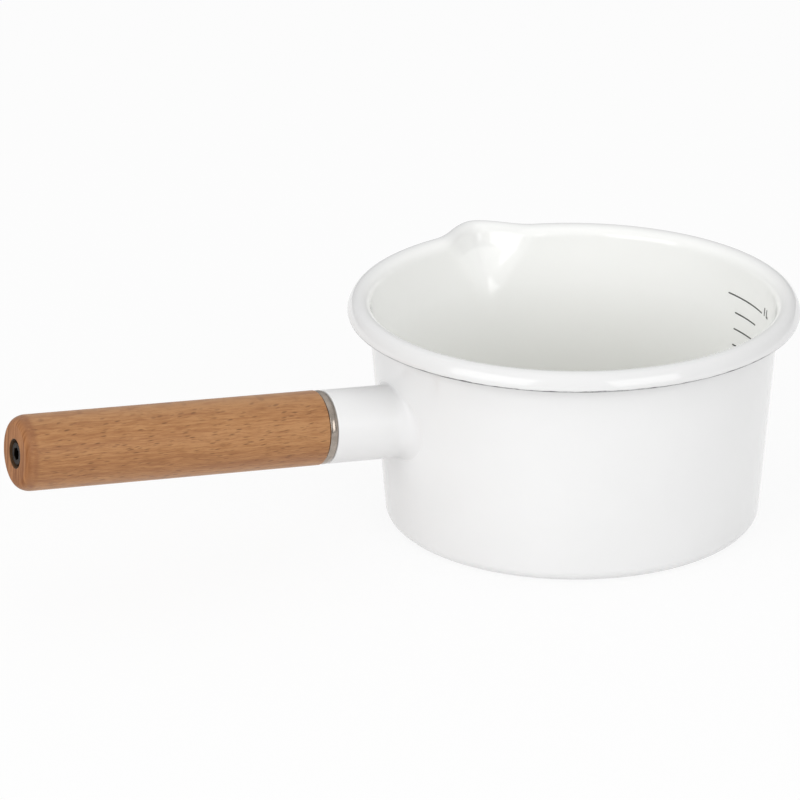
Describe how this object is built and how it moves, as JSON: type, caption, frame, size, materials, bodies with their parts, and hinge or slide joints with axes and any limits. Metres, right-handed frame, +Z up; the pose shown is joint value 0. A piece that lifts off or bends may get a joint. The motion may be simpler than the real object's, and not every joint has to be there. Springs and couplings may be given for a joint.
{
  "type": "saucepan",
  "caption": "Enamelled steel saucepan with a rolled rim, a pressed pouring spout and a turned wooden handle bolted to a short welded socket; heats, measures and pours liquids.",
  "frame": {"origin": "centre of the pot's resting face", "axes": "+Z up along the pot's axis, the handle along -X, the pouring spout along +Y"},
  "size_m": [0.2957, 0.1713, 0.083],
  "materials": {
    "enamel": "glossy white vitreous enamel on steel",
    "socket_enamel": "glossy white vitreous enamel on steel",
    "inner_steel": "plain steel",
    "ferrule_steel": "turned stainless steel",
    "beech": "turned beech, lightly oiled",
    "washer_steel": "zinc plated",
    "black_steel": "black oxide"
  },
  "bodies": {
    "root": {"pot_body": "enamel", "handle_socket": "socket_enamel", "socket_plate": "inner_steel", "weld_nut": "inner_steel", "ferrule_ring": "ferrule_steel", "grip": "beech", "flat_washer": "washer_steel", "handle_bolt": "black_steel"}
  },
  "joints": []
}
